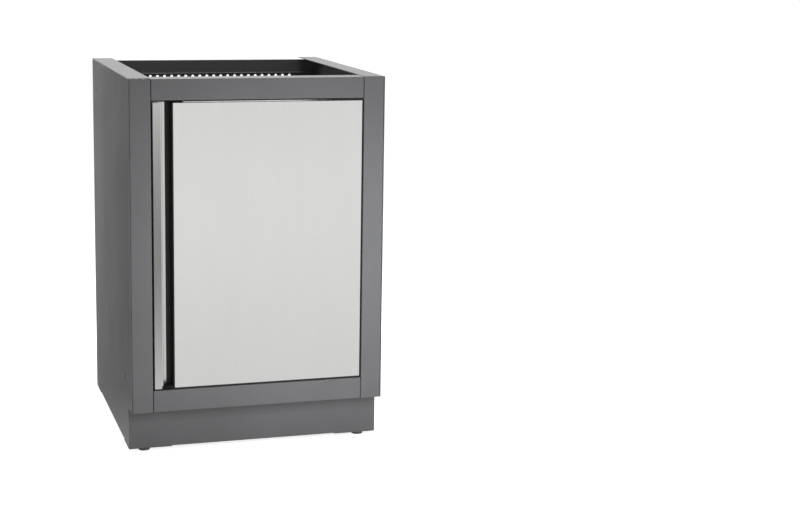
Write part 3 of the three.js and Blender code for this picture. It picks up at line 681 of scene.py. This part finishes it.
# Door bumpers, hinge pins and their flanged bushes
BUMPER_PROFILE = [
    (0, 0), (3.8, 0), (3.95, 0.2), (3.95, 0.8), (3.7, 1.5), (3.0, 2.05), (1.8, 2.33), (0, 2.4),
]
PIN_START = [(0, 0), (2.6, 0), (2.97, 0.4), (2.97, 2.3), (2.75, 2.5), (2.75, 2.9), (2.97, 3.1)]
PIN_END = [(2.97, 1.7), (2.75, 0.9), (2.1, 0.3), (0, 0)]
BUSH_START = [
    (3.3, 0.3), (3.6, 0), (6.7, 0), (6.97, 0.22), (6.97, 0.7), (6.8, 0.9), (5.2, 0.9), (4.95, 1.1),
]
BUSH_END = [(4.95, 0.6), (4.5, 0), (3.6, 0), (3.3, 0.3)]


def with_end(start, end, length):
    """A profile of two parts, where the second is measured down from the far end."""
    return millimetres(start) + [(radius * MM, length - drop * MM) for radius, drop in end]


bumper = spun("bumper", millimetres(BUMPER_PROFILE), steps=48)
for level, way in (("upper", Vector((0, 0, -1))), ("lower", Vector((0, 0, 1)))):
    node = f"{level}_bumper"
    out = Vector((0, -1, 0))
    face, length = span_along(node, out)
    stand_in(f"{node}_fine", bumper, looks["rubber"], node, face - out * length, out)
    node = f"{level}_hinge_pin"
    tip, length = span_along(node, way)
    pin = spun(node, with_end(PIN_START, PIN_END, length), steps=48)
    stand_in(f"{node}_fine", pin, hinge_look, node, tip - way * length, way)
    node = f"{level}_pivot_bush"
    tip, length = span_along(node, way)
    bush = spun(node, with_end(BUSH_START, BUSH_END, length), steps=64, closed=True)
    stand_in(f"{node}_fine", bush, looks["nylon"], node, tip - way * length, way)


# Catch magnet: a ferrite core between two steel pole plates that stand a little proud
POLE_THICKNESS = 1.6 * MM
CORE_SET_BACK = 0.5 * MM
CORE_END_SET_BACK = 0.8 * MM
CORE_REAR_GAP = 0.1 * MM
CORE_EDGE = 0.25 * MM
POLE_EDGE = 0.12 * MM
POLE_CHAMFER = 0.6 * MM
NOTCH = 1.1 * MM
NOTCH_SHARES = (0.3, 0.7)


def pole_outline(low, high):
    """A plate's outline with cut corners and two notches in its front edge."""
    (x0, y0), (x1, y1) = low, high
    points = [(x0, y0 + POLE_CHAMFER), (x0 + POLE_CHAMFER, y0)]
    for share in NOTCH_SHARES:
        x = x0 + (x1 - x0) * share
        points += [(x - NOTCH, y0), (x - NOTCH / 2, y0 + NOTCH)]
        points += [(x + NOTCH / 2, y0 + NOTCH), (x + NOTCH, y0)]
    points += [(x1 - POLE_CHAMFER, y0), (x1, y0 + POLE_CHAMFER)]
    points += [(x1, y1 - POLE_CHAMFER), (x1 - POLE_CHAMFER, y1)]
    return points + [(x0 + POLE_CHAMFER, y1), (x0, y1 - POLE_CHAMFER)]


low, high = (Vector(corner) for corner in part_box("catch_magnet"))
core_low = (low.x + CORE_END_SET_BACK, low.y + CORE_SET_BACK)
core_high = (high.x - CORE_END_SET_BACK, high.y - CORE_REAR_GAP)
core_outline = pole_outline(core_low, core_high)
core_span = (low.z + POLE_THICKNESS, high.z - POLE_THICKNESS)
core = prism("magnet_core", core_outline, core_outline, *core_span)
eased(stand_in("catch_magnet_core", core, looks["magnet"], "catch_magnet", Vector()), CORE_EDGE)
plate_outline = pole_outline((low.x, low.y), (high.x, high.y))
for name, bottom in (("catch_pole_lower", low.z), ("catch_pole_upper", high.z - POLE_THICKNESS)):
    plate = prism(name, plate_outline, plate_outline, bottom, bottom + POLE_THICKNESS)
    plate.materials.append(looks["steel"])
    piece = bpy.data.objects.new(name, plate)
    bpy.context.scene.collection.objects.link(piece)
    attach(piece, "carcass")
    eased(piece, POLE_EDGE)


# Stage
FLOOR_REACH = 60


def pale_floor():
    """A pale floor that runs out of sight, white to the camera apart from the shadow."""
    floor_mesh = bpy.data.meshes.new("floor")
    corners = [(-FLOOR_REACH, -FLOOR_REACH), (FLOOR_REACH, -FLOOR_REACH)]
    corners += [(FLOOR_REACH, FLOOR_REACH), (-FLOOR_REACH, FLOOR_REACH)]
    floor_mesh.from_pydata([(x, y, 0) for x, y in corners], [], [(0, 1, 2, 3)])
    floor = bpy.data.objects.new("floor", floor_mesh)
    bpy.context.scene.collection.objects.link(floor)
    material = bpy.data.materials.new("pale_floor")
    material.use_nodes = True
    graph = Graph(material.node_tree)
    graph.tree.nodes.remove(graph.tree.nodes["Principled BSDF"])
    paths = graph.add("ShaderNodeLightPath")
    away = graph.add("ShaderNodeVectorMath", {0: graph.place()}, operation="LENGTH")
    level = graph.spread(away.outputs["Value"], GLOW_NEAR, GLOW_FAR, *GLOW_REACH)
    glow = graph.combine(paths.outputs["Is Camera Ray"], level, "MULTIPLY")
    seen = graph.lit_and_glowing(FLOOR, glow)
    before = graph.spread(graph.axis("Y"), MIRRORED_BEFORE, MIRRORED_CLOSE, *MIRRORED_NEARING)
    far = graph.spread(graph.axis("Y"), MIRRORED_FAR, 1.0, *MIRRORED_LEAVING)
    # Painted shadow: in reflections the floor behind the cabinet is darker
    behind = graph.spread(graph.axis("Y"), 1.0, MIRRORED_BEHIND, *MIRRORED_TURN)
    level = graph.combine(graph.combine(before, far, "MULTIPLY"), behind, "MULTIPLY")
    mirrored = graph.add("ShaderNodeEmission", {"Color": (1, 1, 1, 1), "Strength": level})
    mirror = graph.combine(paths.outputs["Is Glossy Ray"], paths.outputs["Is Transmission Ray"])
    either = graph.add("ShaderNodeMixShader")
    graph.tree.links.new(mirror, either.inputs[0])
    graph.tree.links.new(seen, either.inputs[1])
    graph.tree.links.new(mirrored.outputs["Emission"], either.inputs[2])
    output = graph.tree.nodes["Material Output"]
    graph.tree.links.new(either.outputs["Shader"], output.inputs["Surface"])
    floor_mesh.materials.append(material)


def studio_world():
    """White to the camera and in reflections, and a softer level on matt surfaces."""
    world = bpy.data.worlds.new("studio")
    world.use_nodes = True
    bpy.context.scene.world = world
    graph = Graph(world.node_tree)
    background = graph.tree.nodes["Background"]
    paths = graph.add("ShaderNodeLightPath")
    seen = graph.combine(
        graph.combine(paths.outputs["Is Camera Ray"], paths.outputs["Is Glossy Ray"]),
        paths.outputs["Is Transmission Ray"],
    )
    level = graph.spread(seen, WORLD_DIFFUSE, 1.0, 0.0, 1.0)
    graph.tree.links.new(level, background.inputs["Strength"])
    background.inputs["Color"].default_value = (1, 1, 1, 1)


def soft_box(name, place, target, size, power, mirrored):
    """A rectangular lamp that the camera doesn't see, aimed at a point."""
    lamp = bpy.data.lights.new(name, "AREA")
    lamp.shape = "RECTANGLE"
    lamp.size, lamp.size_y = size
    lamp.energy = power
    holder = bpy.data.objects.new(name, lamp)
    holder.location = place
    aim = Vector(target) - Vector(place)
    holder.rotation_euler = aim.to_track_quat("-Z", "Y").to_euler()
    holder.visible_camera = False
    holder.visible_glossy = mirrored
    bpy.context.scene.collection.objects.link(holder)


def camera():
    """A camera from its yaw, pitch, roll and place."""
    lens = bpy.data.cameras.new("camera")
    lens.sensor_width = SENSOR_WIDTH
    lens.lens = FOCAL_PIXELS * SENSOR_WIDTH / PICTURE_WIDTH
    lens.shift_y = CAMERA_SHIFT
    ahead = Vector(
        (
            math.sin(CAMERA_YAW) * math.cos(CAMERA_PITCH),
            math.cos(CAMERA_YAW) * math.cos(CAMERA_PITCH),
            -math.sin(CAMERA_PITCH),
        )
    )
    level_right = Vector((math.cos(CAMERA_YAW), -math.sin(CAMERA_YAW), 0))
    level_up = level_right.cross(ahead)
    right = math.cos(CAMERA_ROLL) * level_right + math.sin(CAMERA_ROLL) * level_up
    up = right.cross(ahead)
    holder = bpy.data.objects.new("camera", lens)
    turn = Matrix((right, up, -ahead)).transposed().to_4x4()
    holder.matrix_world = Matrix.Translation(CAMERA_PLACE) @ turn
    bpy.context.scene.collection.objects.link(holder)
    bpy.context.scene.camera = holder


pale_floor()
studio_world()
camera()
for lamp in LAMPS:
    soft_box(*lamp)
bpy.context.scene.view_settings.view_transform = "Standard"
